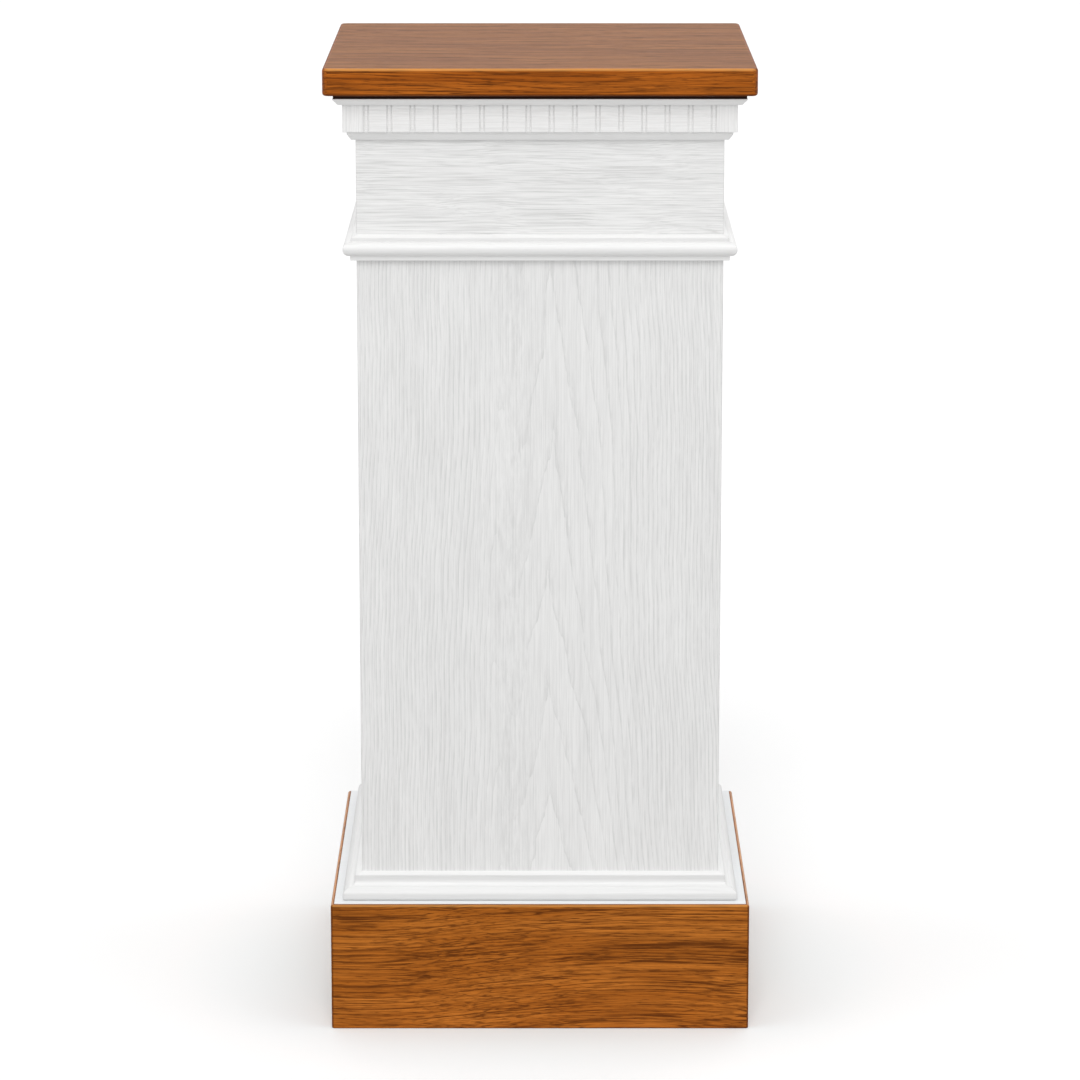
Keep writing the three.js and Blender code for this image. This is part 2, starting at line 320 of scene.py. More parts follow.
# what both stained oaks share; a scale is how fine a pattern is along, across and into the board
oakGrain = {
    "swing": (3.2, 3, 3),
    "shiver": (9, 90, 90),
    "shiverReach": 0.6,        # in growth lines
    "gate": (6, 95, 95),       # where the growth lines show and where they fade out
    "patches": (6, 70, 70),    # where the fine streaks gather
    "tatter": (11, 260, 260),
    "drift": (5, 60, 90),
    "fibre": (42, 800, 800),
    "pores": (70, 1000, 1000),
    "lineFade": 0.34,          # the part of a growth line's spacing that its dark side takes up
    "fineWidth": 0.050,
    "fineDepth": 0.85,
    "finerWidth": 0.065,
    "finerDepth": 0.55,
    "driftDepth": 0.70,        # how far each pattern pulls the colour to its own
    "streakDepth": 0.95,
    "fibreDepth": 0.30,
    "poreDepth": 0.60,
    "gatheredShadeDepth": 0.75,
    "rubbedRoughness": 0.32,
    "gatheredRoughness": 0.70,
    "relief": 0.00006,
}

# the shaft, frieze and mouldings carry one white paint at three levels of lightness, as painted light and
# shade: the shaft darkest, the mouldings and dentils lightest against the shade under the slab
boardPaintSettings = {
    "clear": (0.832, 0.832, 0.826, 1),
    "shade": (0.672, 0.672, 0.667, 1),
    "roughness": 0.42,
    "specular": 0.40,
    "archRate": 12.4,        # growth lines a metre up the board at its foot
    "archSlowing": 4.6,      # and how fast they thin out towards its top
    "archPhase": 6.55,       # sets the tips at their heights
    "archCentre": 0.010,
    "middleLines": 42.0,     # growth lines a metre near the middle of the board
    "edgeLines": 275.0,      # and towards its edges
    "straightFrom": 0.074,   # how far from the arches' middle the lines run straight
    "straightEase": 0.060,
    "secondAside": 0.053,    # a second, smaller arch beside the first
    "secondWidth": 0.014,
    "secondRise": 1.9,
    "valleyAside": 0.036,    # between the two the figure blurs into mottling
    "valleyWidth": 0.020,
    "sway": 0.024,           # how far the arches lean from side to side
    "ripple": 0.65,          # in growth lines
    "outerFrom": 0.035,      # from here out the figure turns to straight lines
    "outerTo": 0.10,
    "relief": 0.00012,
    # how fine each pattern is along, across and into the board, and how much it darkens the coat
    "scales": {
        "sway": (4, 0, 0),
        "ripple": (13, 60, 0),
        "uneven": (9, 120, 0),
        "mottle": (52, 300, 0),
        "cloud": (6, 30, 0),
        "hairs": (3.2, 430, 430),
        "dashes": (30, 760, 760),
    },
    "marks": {"core": 0.38, "flame": 0.46, "hairs": 0.30, "dashes": 0.34, "cloud": 0.16, "bright": -0.08},
}

friezePaintSettings = {
    "clear": (0.870, 0.870, 0.864, 1),
    "shade": (0.630, 0.630, 0.625, 1),
    "roughness": 0.42,
    "specular": 0.40,
}

mouldingPaintSettings = {
    "clear": (0.885, 0.885, 0.880, 1),
    "shade": (0.720, 0.720, 0.715, 1),
    "roughness": 0.42,
    "specular": 0.40,
}

# painted shade and highlight: how light the coat is painted on each form of a moulding; the lamps alone
# leave the forms too alike
paintedShadeEdge = 0.0004       # how quickly one tone gives way to the next
astragalPaintedShade = {"neck": 1.0, "bead": 0.91, "beadTop": 1.0, "fillet": 0.86, "wash": 1.0}
baseCapPaintedShade = {"foot": 0.70, "face": 0.85, "shoulder": 0.92, "cove": 0.93, "fillet": 0.86, "wash": 0.97}

# the open grain of every painted piece but the shaft
railGrain = {
    "scales": {
        "bend": (8, 24, 24),
        "broad": (3.8, 290, 290),
        "thin": (6, 600, 600),
        "uneven": (12, 150, 150),
        "cloud": (5, 110, 110),
        "dashes": (18, 800, 800),
    },
    "bend": 0.009,           # how far the grain swings across the piece
    "relief": 0.00010,
    "marks": {"broad": 0.52, "thin": 0.38, "cloud": 0.10, "dashes": 0.40},
}
figureStrength = {"frieze": 1.0, "dentils": 0.8, "mouldings": 0.38}

# the lid's coat is painted darker and with a cool tint compared to the mouldings', as painted shade on its
# upward face
lidPaintAndShadeSettings = {
    "clear": (0.845, 0.858, 0.868, 1),
    "shade": (0.760, 0.770, 0.780, 1),
    "roughness": 0.50,
    "specular": 0.30,
}


def ridges(tree, vector, scale, width):
    # thin lines where a drawn-out noise passes its middle
    reach = mathNode(tree, "ABSOLUTE", centred(tree, noise(tree, vector, scale, 2.0, 0.55)))
    return mapRange(tree, reach, 0.0, width, 1.0, 0.0, smooth=True)


def stainedOak(name, cfg):
    mat, tree, shader = startMaterial(name, cfg["roughness"], cfg["specular"])
    shader.inputs["Specular Tint"].default_value = cfg["specularTint"]
    board = boardVector(tree)
    along, across, deep = split(tree, board)
    wearAndPaintedLight = tree.nodes.new("ShaderNodeAttribute")
    wearAndPaintedLight.attribute_name = "wearAndPaintedLight"      # rubbed thin, upper face, gathered
    # its parts: rubbed thin with a painted highlight, the upper face, gathered stain with painted shade
    rubbedAndHighlit, upper, gatheredAndShaded = split(tree, wearAndPaintedLight.outputs["Vector"])
    figure = mapRange(tree, upper, 0.0, 1.0, 1.0, cfg["topFigure"])
    swing = times(tree, centred(tree, noise(tree, board, oakGrain["swing"], 0.0)), cfg["flow"])
    flowing = tree.nodes.new("ShaderNodeCombineXYZ")
    acrossFlow = addUp(tree, across, swing)
    deepFlow = addUp(tree, deep, swing)
    for socket, value in zip(flowing.inputs, (along, acrossFlow, deepFlow)):
        tree.links.new(value, socket)
    flow = flowing.outputs[0]
    # growth lines: dark and full of pores on one side, fading on the other
    shiver = noise(tree, flow, oakGrain["shiver"], 3.0, 0.55)
    ring = addUp(
        tree,
        times(tree, acrossFlow, cfg["linesAcross"]),
        times(tree, deepFlow, cfg["linesDeep"]),
        times(tree, shiver, oakGrain["shiverReach"]),
    )
    gate = noise(tree, flow, oakGrain["gate"], 2.0, 0.55)
    gate = mapRange(tree, gate, 0.40, 0.60, 0.10, 1.0, smooth=True)
    band = times(tree, growthShade(tree, ring, oakGrain["lineFade"]), gate, cfg["band"])
    patches = mapRange(tree, noise(tree, flow, oakGrain["patches"], 2.0, 0.55), 0.40, 0.58, 0.30, 1.0)
    fine = ridges(tree, flow, cfg["fine"], oakGrain["fineWidth"])
    fine = times(tree, fine, patches, oakGrain["fineDepth"])
    finer = ridges(tree, flow, cfg["finer"], oakGrain["finerWidth"])
    finer = times(tree, finer, oakGrain["finerDepth"])
    tatter = mapRange(tree, noise(tree, flow, oakGrain["tatter"], 3.0, 0.6), 0.38, 0.56, 0.60, 1.0)
    streak = mathNode(tree, "MAXIMUM", band, mathNode(tree, "MAXIMUM", fine, finer))
    streak = mathNode(tree, "MINIMUM", times(tree, streak, tatter, figure, cfg["streak"]), 1.0)
    drift = noise(tree, flow, oakGrain["drift"], 3.0, 0.55, 0.2)
    drift = mapRange(tree, drift, 0.36, 0.66, smooth=True)
    fibre = mapRange(tree, noise(tree, flow, oakGrain["fibre"], 3.0, 0.65), 0.38, 0.62)
    fibre = times(tree, fibre, figure)
    pore = addUp(tree, noise(tree, flow, oakGrain["pores"], 2.0, 0.5), times(tree, streak, 0.17))
    pore = times(tree, mapRange(tree, pore, 0.60, 0.72, smooth=True), figure)
    colour = mixColour(tree, times(tree, drift, oakGrain["driftDepth"]), cfg["base"], cfg["light"])
    colour = mixColour(tree, times(tree, streak, oakGrain["streakDepth"]), colour, cfg["dark"])
    colour = mixColour(tree, times(tree, fibre, oakGrain["fibreDepth"]), colour, cfg["dark"])
    colour = mixColour(tree, times(tree, pore, oakGrain["poreDepth"]), colour, cfg["pore"])
    # painted shade: the upper face is multiplied darker
    colour = mixColour(tree, upper, colour, cfg["topPaintedShade"], "MULTIPLY")
    # painted highlight and wear: the upper arris is lightened, as stain rubbed thin and as the highlight
    # along it
    colour = mixColour(tree, times(tree, rubbedAndHighlit, cfg["rubAndHighlight"]), colour, cfg["rubbedAndHighlit"])
    # painted shade on the lower edge and the upright corners, and stain gathered at the end grain
    colour = mixColour(tree, times(tree, gatheredAndShaded, oakGrain["gatheredShadeDepth"]), colour, cfg["pore"])
    tree.links.new(colour, shader.inputs["Base Color"])
    relief = addUp(tree, times(tree, streak, 0.4), times(tree, pore, 0.8))
    matt = mapRange(tree, upper, 0.0, 1.0, cfg["roughness"], cfg["topRoughness"])
    matt = mapRange(tree, rubbedAndHighlit, 0.0, 1.0, matt, oakGrain["rubbedRoughness"])
    matt = mapRange(tree, gatheredAndShaded, 0.0, 1.0, matt, oakGrain["gatheredRoughness"])
    tree.links.new(addUp(tree, matt, times(tree, relief, 0.12)), shader.inputs["Roughness"])
    addBump(tree, shader, mathNode(tree, "SUBTRACT", 1.0, relief), oakGrain["relief"])
    return mat


def growthShade(tree, ring, softness):
    # dark at the line itself, fading outwards from it
    turn = mathNode(tree, "FRACT", ring)
    return mapRange(tree, turn, 0.0, softness, 1.0, 0.0, smooth=True)


def centred(tree, value):
    return mathNode(tree, "SUBTRACT", value, 0.5)


def hump(tree, value, aside, width):
    # one smooth rise, as wide as width, where value passes -aside
    away = mathNode(tree, "DIVIDE", mathNode(tree, "ADD", value, aside), width)
    return mathNode(tree, "EXPONENT", times(tree, away, away, -1.0))


def paintedShaft(cfg):
    # one flat-sawn board a side: pointed arches up its middle, straight lines beside them
    mat, tree, shader = startMaterial("paintedShaftGrain", cfg["roughness"], cfg["specular"])
    board = boardVector(tree)
    along, across = split(tree, board)[:2]
    scales = cfg["scales"]
    sway = times(tree, centred(tree, noise(tree, board, scales["sway"], 2.0, 0.5)), cfg["sway"])
    ripple = centred(tree, noise(tree, board, scales["ripple"], 3.0, 0.6))
    fromMiddle = addUp(tree, across, -cfg["archCentre"], sway)
    reach = mathNode(tree, "ABSOLUTE", fromMiddle)
    outer = mapRange(tree, reach, cfg["outerFrom"], cfg["outerTo"], smooth=True)
    calm = mapRange(tree, outer, 0.0, 1.0, 1.0, 0.45)
    valley = hump(tree, fromMiddle, cfg["valleyAside"], cfg["valleyWidth"])
    beyond = mathNode(tree, "SUBTRACT", reach, cfg["straightFrom"])
    beyond = mathNode(tree, "SMOOTH_MAX", beyond, 0.0, cfg["straightEase"])
    second = hump(tree, fromMiddle, cfg["secondAside"], cfg["secondWidth"])
    ring = addUp(
        tree,
        times(tree, reach, cfg["middleLines"]),
        times(tree, beyond, cfg["edgeLines"] - cfg["middleLines"]),
        times(tree, second, -cfg["secondRise"]),
        times(tree, along, cfg["archRate"]),
        times(tree, along, along, -cfg["archSlowing"]),
        -cfg["archPhase"],
        times(tree, ripple, calm, cfg["ripple"]),
    )
    turn = mathNode(tree, "FRACT", ring)
    core = mapRange(tree, turn, 0.0, mapRange(tree, outer, 0, 1, 0.085, 0.42), 1.0, 0.0, smooth=True)
    core = times(tree, core, mapRange(tree, valley, 0.2, 0.9, 1.0, 0.10))
    flame = mapRange(tree, turn, 0.0, mapRange(tree, outer, 0, 1, 0.34, 0.7), 1.0, 0.0, smooth=True)
    flame = mathNode(tree, "MAXIMUM", flame, times(tree, valley, 0.75))
    bright = mapRange(tree, turn, 0.60, 1.0, smooth=True)
    uneven = mapRange(tree, noise(tree, board, scales["uneven"], 2.0, 0.5), 0.38, 0.60, 0.22, 1.0)
    mottle = mapRange(tree, noise(tree, board, scales["mottle"], 3.0, 0.65), 0.40, 0.60)
    cloud = mapRange(tree, noise(tree, board, scales["cloud"], 3.0, 0.6), 0.36, 0.64)
    hairs = ridges(tree, board, scales["hairs"], 0.07)
    dashes = mapRange(tree, noise(tree, board, scales["dashes"], 3.0, 0.6), 0.42, 0.64)
    marks = cfg["marks"]
    mark = addUp(
        tree,
        times(tree, core, uneven, marks["core"]),
        times(tree, flame, mottle, marks["flame"]),
        times(tree, hairs, marks["hairs"]),
        times(tree, dashes, marks["dashes"]),
        times(tree, cloud, marks["cloud"]),
        times(tree, bright, marks["bright"]),
    )
    mark = mathNode(tree, "MINIMUM", mathNode(tree, "MAXIMUM", mark, 0.0), 1.0)
    colour = mixColour(tree, mark, cfg["clear"], cfg["shade"])
    tree.links.new(colour, shader.inputs["Base Color"])
    addBump(tree, shader, mathNode(tree, "SUBTRACT", 1.0, mark), cfg["relief"])
    return mat


def astragalShadeStops(coat, cfg):
    # each painted shade tone at the height of its own form, with a sharp change at the quirks
    beadTop = cfg["neckHeight"] + 2 * cfg["beadRadius"]
    filletTop = beadTop + cfg["topHeight"]
    return [
        (0.0, coat["neck"]),
        (cfg["neckHeight"], coat["neck"]),
        (cfg["neckHeight"] + cfg["beadRadius"], coat["bead"]),
        (beadTop, coat["beadTop"]),
        (beadTop + paintedShadeEdge, coat["fillet"]),
        (filletTop, coat["fillet"]),
        (filletTop + paintedShadeEdge, coat["wash"]),
        (filletTop + cfg["wash"], coat["wash"]),
    ]


def baseCapShadeStops(coat, cfg):
    # painted shade tones up the base cap: darkest at its foot, lighter on the shoulder, cove and wash
    shoulderTop = cfg["heelHeight"] + cfg["shoulderFace"] + cfg["shoulderHeight"]
    coveTop = shoulderTop + cfg["coveHeight"]
    filletTop = coveTop + cfg["filletHeight"]
    return [
        (0.0, coat["foot"]),
        (cfg["heelHeight"], coat["face"]),
        (shoulderTop, coat["shoulder"]),
        (coveTop, coat["cove"]),
        (coveTop + cfg["wash"], coat["fillet"]),
        (filletTop, coat["fillet"]),
        (filletTop + paintedShadeEdge, coat["wash"]),
        (filletTop + cfg["wash"], coat["wash"]),
    ]


def paintedShadeByHeight(tree, foot, stops):
    # painted shade and highlight: a tone that changes with height over the moulding's foot, multiplied into
    # the coat
    z = split(tree, objectVector(tree))[2]
    top = stops[-1][0]
    ramp = tree.nodes.new("ShaderNodeValToRGB")
    points = ramp.color_ramp.elements
    points.remove(points[-1])
    for height, tone in stops[1:]:
        points.new(height / top).color = (tone, tone, tone, 1)
    points[0].position = 0.0
    points[0].color = (stops[0][1], stops[0][1], stops[0][1], 1)
    tree.links.new(mapRange(tree, z, foot, foot + top), ramp.inputs["Fac"])
    return ramp.outputs["Color"]


def paintedRail(name, cfg, strength, paintedShadeStops=None, foot=0.0):
    # wavy open grain running along the piece, and painted shade and highlight by height where tone stops
    # are given
    mat, tree, shader = startMaterial(name, cfg["roughness"], cfg["specular"])
    board = boardVector(tree)
    along, across, deep = split(tree, board)
    scales = railGrain["scales"]
    bend = centred(tree, noise(tree, board, scales["bend"], 1.0, 0.5))
    shift = tree.nodes.new("ShaderNodeCombineXYZ")
    tree.links.new(along, shift.inputs[0])
    tree.links.new(addUp(tree, across, times(tree, bend, railGrain["bend"])), shift.inputs[1])
    tree.links.new(addUp(tree, deep, times(tree, bend, railGrain["bend"])), shift.inputs[2])
    bent = shift.outputs[0]
    broad = ridges(tree, bent, scales["broad"], 0.045)
    thin = ridges(tree, bent, scales["thin"], 0.06)
    uneven = mapRange(tree, noise(tree, board, scales["uneven"], 2.0, 0.55), 0.40, 0.62, 0.15, 1.0)
    cloud = mapRange(tree, noise(tree, bent, scales["cloud"], 3.0, 0.6), 0.38, 0.64)
    dashes = mapRange(tree, noise(tree, bent, scales["dashes"], 3.0, 0.6), 0.42, 0.62)
    marks = railGrain["marks"]
    mark = addUp(
        tree,
        times(tree, broad, uneven, marks["broad"]),
        times(tree, thin, marks["thin"]),
        times(tree, cloud, marks["cloud"]),
        times(tree, dashes, marks["dashes"]),
    )
    mark = times(tree, mathNode(tree, "MINIMUM", mark, 1.0), strength)
    colour = mixColour(tree, mark, cfg["clear"], cfg["shade"])
    # painted shade and highlight, by height over the moulding's foot
    if paintedShadeStops:
        colour = mixColour(tree, 1.0, colour, paintedShadeByHeight(tree, foot, paintedShadeStops), "MULTIPLY")
    tree.links.new(colour, shader.inputs["Base Color"])
    addBump(tree, shader, mathNode(tree, "SUBTRACT", 1.0, mark), railGrain["relief"])
    return mat


# the sub-top's dark stain is painted nearly black, as the shade under the slab's overhang
darkStainAndShadeSettings = {"clear": (0.030, 0.0085, 0.0035, 1), "dark": (0.010, 0.0035, 0.0020, 1)}
pineSettings = {
    "early": (0.66, 0.47, 0.25, 1),
    "late": (0.47, 0.27, 0.11, 1),
    "fibre": (0.40, 0.24, 0.10, 1),
}
plySettings = {
    "veneer": 0.0014,
    "pale": (0.66, 0.49, 0.29, 1),
    "dark": (0.50, 0.33, 0.16, 1),
    "fibre": (0.42, 0.27, 0.13, 1),
}
zincSettings = {"light": (0.66, 0.67, 0.68, 1), "dark": (0.48, 0.50, 0.54, 1)}
woodRelief = 0.00008


def darkStainAndShade(cfg):
    mat, tree, shader = startMaterial("nearBlackStainAndShade", 0.55, 0.08)
    place = objectVector(tree)
    streak = noise(tree, place, (14, 14, 900), 3.0, 0.6)
    colour = mixColour(tree, streak, cfg["clear"], cfg["dark"])
    tree.links.new(colour, shader.inputs["Base Color"])
    addBump(tree, shader, streak, woodRelief)
    return mat


def barePine(name, cfg, stretch):
    mat, tree, shader = startMaterial(name, 0.72, 0.25)
    place = objectVector(tree)
    rings = noise(tree, place, tuple(6 if s else 150 for s in stretch), 2.0, 0.5, 0.4)
    fibre = noise(tree, place, tuple(40 if s else 1300 for s in stretch), 3.0, 0.6)
    late = mapRange(tree, rings, 0.42, 0.62, smooth=True)
    colour = mixColour(tree, late, cfg["early"], cfg["late"])
    colour = mixColour(tree, times(tree, fibre, 0.3), colour, cfg["fibre"])
    tree.links.new(colour, shader.inputs["Base Color"])
    addBump(tree, shader, fibre, woodRelief)
    return mat


def birchPly(cfg):
    mat, tree, shader = startMaterial("birchPlyEdges", 0.70, 0.25)
    place = objectVector(tree)
    x, y = split(tree, place)[:2]
    outwards = mathNode(tree, "MAXIMUM", mathNode(tree, "ABSOLUTE", x), mathNode(tree, "ABSOLUTE", y))
    layer = mathNode(tree, "FRACT", mathNode(tree, "DIVIDE", outwards, 2 * cfg["veneer"]))
    layer = mapRange(tree, layer, 0.45, 0.55, smooth=True)
    fibre = noise(tree, place, (260, 260, 60), 3.0, 0.6)
    colour = mixColour(tree, layer, cfg["pale"], cfg["dark"])
    colour = mixColour(tree, times(tree, fibre, 0.35), colour, cfg["fibre"])
    tree.links.new(colour, shader.inputs["Base Color"])
    addBump(tree, shader, fibre, woodRelief)
    return mat


def zincPlate(cfg):
    mat, tree, shader = startMaterial("zincPlate", 0.34, 0.5, 1.0)
    place = objectVector(tree)
    cloud = noise(tree, place, (700, 700, 700), 3.0, 0.6)
    colour = mixColour(tree, cloud, cfg["light"], cfg["dark"])
    tree.links.new(colour, shader.inputs["Base Color"])
    tree.links.new(mapRange(tree, cloud, 0.3, 0.7, 0.26, 0.44), shader.inputs["Roughness"])
    addBump(tree, shader, cloud, 0.00003)
    return mat


# outlines and lofts

tiny = 1e-6             # closer than this, two lengths are the same
innerRounding = 0.3     # the least part of a corner's rounding that the deeper steps of a profile keep


def softCorners(points, steps=4):
    # points are (x, y, radius): a corner with a radius is eased, one without stays as it is
    eased = []
    count = len(points)
    for i, (x, y, radius) in enumerate(points):
        here = Vector((x, y))
        if radius <= 0:
            eased.append(here)
            continue
        back = Vector(points[i - 1][:2]) - here
        ahead = Vector(points[(i + 1) % count][:2]) - here
        reach = min(radius, 0.48 * back.length, 0.48 * ahead.length)
        first = here + back.normalized() * reach
        last = here + ahead.normalized() * reach
        for s in range(steps + 1):
            t = s / steps
            eased.append(first * (1 - t) ** 2 + here * 2 * t * (1 - t) + last * t ** 2)
    return eased


def arc(centreX, centreY, radiusX, radiusY, start, end, steps):
    angles = [math.radians(start + (end - start) * s / steps) for s in range(steps + 1)]
    return [(centreX + radiusX * math.cos(a), centreY + radiusY * math.sin(a), 0) for a in angles]


def loft(name, rings, closed=False):
    # quads between neighbouring rings, and a flat cap at each end where it isn't a closed loop
    bm = bmesh.new()
    made = [[bm.verts.new(point) for point in ring] for ring in rings]
    pairs = list(zip(made, made[1:] + made[:1])) if closed else list(zip(made, made[1:]))
    size = len(made[0])
    for lower, upper in pairs:
        for i in range(size):
            j = (i + 1) % size
            bm.faces.new((lower[i], lower[j], upper[j], upper[i]))
    if not closed:
        bm.faces.new(made[0][::-1])
        bm.faces.new(made[-1])
    bmesh.ops.remove_doubles(bm, verts=bm.verts, dist=1e-7)
    bmesh.ops.recalc_face_normals(bm, faces=bm.faces)
    mesh = bpy.data.meshes.new(name)
    bm.to_mesh(mesh)
    bm.free()
    return mesh


def cornerStations(steps):
    return [math.radians(45 * s / steps) for s in range(steps + 1)]


def mitredRun(name, profile, base, radius, steps=3):
    # the profile's x is how far it stands off the column's face, its y is the height over base
    outermost = max(p.x for p in profile)
    innermost = min(p.x for p in profile)
    rings = []
    stations = [(-1, a) for a in reversed(cornerStations(steps))] + [(1, a) for a in cornerStations(steps)]
    for side, angle in stations:
        ring = []
        for p in profile:
            away = columnHalf + p.x
            turn = 0 if p.x <= innermost + tiny else max(radius - (outermost - p.x), radius * innerRounding)
            y = away - turn + turn * math.cos(angle)
            x = min(away - turn + turn * math.sin(angle), y - mitreGap / 2)
            ring.append((side * x, -y, base + p.y))
        rings.append(ring)
    return loft(name, rings)


def squareOutline(half, radius, steps):
    points = []
    for quarter in range(4):
        for s in range(steps + 1):
            angle = math.radians(-90 + 90 * quarter + 90 * s / steps)
            centre = Vector(((1, -1), (1, 1), (-1, 1), (-1, -1))[quarter]) * (half - radius)
            points.append(centre + Vector((math.cos(angle), math.sin(angle))) * radius)
    return points


def easedSteps(height, ease, steps):
    # (height, how far in) from the lower edge to the upper one, both rounded
    angles = [math.radians(90 * s / steps) for s in range(steps + 1)]
    levels = [(ease - ease * math.cos(a), ease - ease * math.sin(a)) for a in angles]
    return levels + [(height - z, inset) for z, inset in levels[::-1]]


def insetOutline(points, inset):
    # each point goes in along the mean of its two edge normals; the outline runs anticlockwise
    moved = []
    count = len(points)
    for i in range(count):
        a = points[i] - points[i - 1]
        b = points[(i + 1) % count] - points[i]
        normal = Vector((-a.y, a.x)).normalized() + Vector((-b.y, b.x)).normalized()
        moved.append(points[i] + normal.normalized() * inset / max(0.5, normal.length / 2))
    return moved


# from a mesh to a finished piece

def writeBoard(mesh, order, offset):
    count = len(mesh.vertices)
    places = np.zeros(count * 3, np.float32)
    mesh.vertices.foreach_get("co", places)
    places = places.reshape(-1, 3)[:, order] + np.array(offset, np.float32)
    attribute = mesh.attributes.new("board", "FLOAT_VECTOR", "POINT")
    attribute.data.foreach_set("vector", places.astype(np.float32).ravel())


# how strongly the painted highlight, the painted shade and the end-grain stain are laid on
wearAndLightSettings = {"edge": 2.0, "corner": 1.6, "endGrain": 0.9, "topFrom": 0.98}


def writeWearAndPaintedLight(mesh, half, bottom, top, arris, heel, endGrain=False):
    # handling rubs the stain thin along the upper edge, which is also painted lighter there as a highlight;
    # the lower edge and the upright corners are painted darker as shade, and the stain gathers at the end
    # grain
    count = len(mesh.vertices)
    places = np.zeros(count * 3, np.float32)
    mesh.vertices.foreach_get("co", places)
    places = places.reshape(-1, 3)
    reach = np.abs(places[:, :2])
    outwards = np.clip((reach.max(1) - half) / arris + 1, 0, 1)
    upwards = np.clip((places[:, 2] - top) / arris + 1, 0, 1)
    downwards = np.clip((bottom - places[:, 2]) / heel + 1, 0, 1)
    corner = np.clip((reach.min(1) - half) / arris + 1, 0, 1)
    rubbedAndHighlit = np.clip(wearAndLightSettings["edge"] * outwards * upwards * (1 - corner), 0, 1)
    upper = np.where(upwards > wearAndLightSettings["topFrom"], 1.0, 0.0)
    # painted shade along the lower edge and down the upright corners
    heelShade = wearAndLightSettings["edge"] * outwards * downwards
    cornerShade = wearAndLightSettings["corner"] * corner * (1 - upwards)
    gatheredAndShaded = np.maximum(heelShade, cornerShade)
    if endGrain:
        atEnd = reach[:, 0] > reach[:, 1]
        gatheredAndShaded = np.where(atEnd, np.maximum(gatheredAndShaded, wearAndLightSettings["endGrain"] * rubbedAndHighlit), gatheredAndShaded)
        rubbedAndHighlit = np.where(atEnd, 0.0, rubbedAndHighlit)
    gatheredAndShaded = np.clip(gatheredAndShaded, 0, 1)
    wearAndPaintedLight = np.stack([rubbedAndHighlit, upper, gatheredAndShaded], 1)
    attribute = mesh.attributes.new("wearAndPaintedLight", "FLOAT_VECTOR", "POINT")
    attribute.data.foreach_set("vector", wearAndPaintedLight.astype(np.float32).ravel())


def turnToSide(mesh, quarter):
    mesh.transform(Matrix.Rotation(math.radians(90 * quarter), 4, "Z"))


def smoothShade(mesh, angle=32):
    mesh.shade_smooth()
    mesh.set_sharp_from_angle(angle=math.radians(angle))


def finishPiece(name, mesh, material, slotName, *replaced):
    smoothShade(mesh)
    mesh.materials.clear()
    mesh.materials.append(material)
    piece = bpy.data.objects.new(name, mesh)
    scene.collection.objects.link(piece)
    even = piece.modifiers.new("evenShading", "WEIGHTED_NORMAL")
    even.keep_sharp = True
    even.weight = 100
    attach(piece, "root")
    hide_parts(*replaced)


def randomOffset(spread=3.0):
    return [chance.uniform(-spread, spread) for _ in range(3)]


alongX = [0, 2, 1]      # grain runs across the face
alongZ = [2, 0, 1]      # grain runs up
alongSlab = [0, 1, 2]   # grain runs across, growth rings seen on the top


# slab top

slabSettings = {"arris": 0.0028, "cornerRadius": 0.0062, "grainFrom": (0.35, 0.12, 0.0)}


def makeSlab(cfg, material):
    low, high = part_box("top_slab")
    rings = []
    for level, inset in easedSteps(high.z - low.z, cfg["arris"], 7):
        shape = squareOutline(high.x - inset, cfg["cornerRadius"] - inset, 8)
        rings.append([(p.x, p.y, low.z + level) for p in shape])
    mesh = loft("slabTop", rings)
    writeBoard(mesh, alongSlab, cfg["grainFrom"])
    arris = cfg["arris"]
    writeWearAndPaintedLight(mesh, high.x, low.z, high.z, arris, arris, endGrain=True)
    finishPiece("slabTop", mesh, material, "stained_oak", "top_slab")
    print("slab made")


# mouldings

crownSettings = {"foot": 0.0152, "flare": 0.0048, "lip": 0.0008, "ease": 0.0006}
bedSettings = {"foot": 0.0038, "flare": 0.0039, "lip": 0.0022, "ease": 0.0006}

astragalSettings = {
    "neckHeight": 0.0044,
    "neckOut": 0.0056,
    "beadRadius": 0.0065,
    "beadOut": 0.0124,
    "topHeight": 0.0034,
    "topOut": 0.0050,
    "wash": 0.0028,
    "ledge": 0.0004,
    "ease": 0.0006,
}

baseCapSettings = {
    "heelHeight": 0.0032,
    "heelDepth": 0.0022,
    "shoulderOut": 0.0178,
    "shoulderFace": 0.0026,
    "shoulderHeight": 0.0064,
    "shoulderDepth": 0.0054,
    "coveHeight": 0.0040,
    "coveDepth": 0.0050,
    "filletHeight": 0.0059,
    "filletOut": 0.0066,
    "wash": 0.0024,
    "ledge": 0.0004,
    "ease": 0.0006,
}

cornerSoftness = 0.0007     # rounding that the paint leaves on a mitred corner


def splayProfile(cfg, height):
    lip = cfg["foot"] + cfg["flare"]
    return softCorners([
        (0, 0, 0),
        (cfg["foot"], 0, cfg["ease"]),
        (lip, height - cfg["lip"], cfg["ease"] / 2),
        (lip, height, cfg["ease"] / 2),
        (0, height, 0),
    ])


def astragalProfile(cfg, height):
    centreOut = cfg["beadOut"] - cfg["beadRadius"]
    centreUp = cfg["neckHeight"] + cfg["beadRadius"]
    beadTop = centreUp + cfg["beadRadius"]
    bead = arc(centreOut, centreUp, cfg["beadRadius"], cfg["beadRadius"], -90, 90, 24)
    return softCorners([
        (0, 0, 0),
        (cfg["neckOut"], 0, cfg["ease"]),
        (cfg["neckOut"], cfg["neckHeight"], 0),
        *bead,
        (cfg["topOut"], beadTop, 0),
        (cfg["topOut"], beadTop + cfg["topHeight"], cfg["ease"]),
        (cfg["ledge"], height, 0),
        (0, height, 0),
    ])


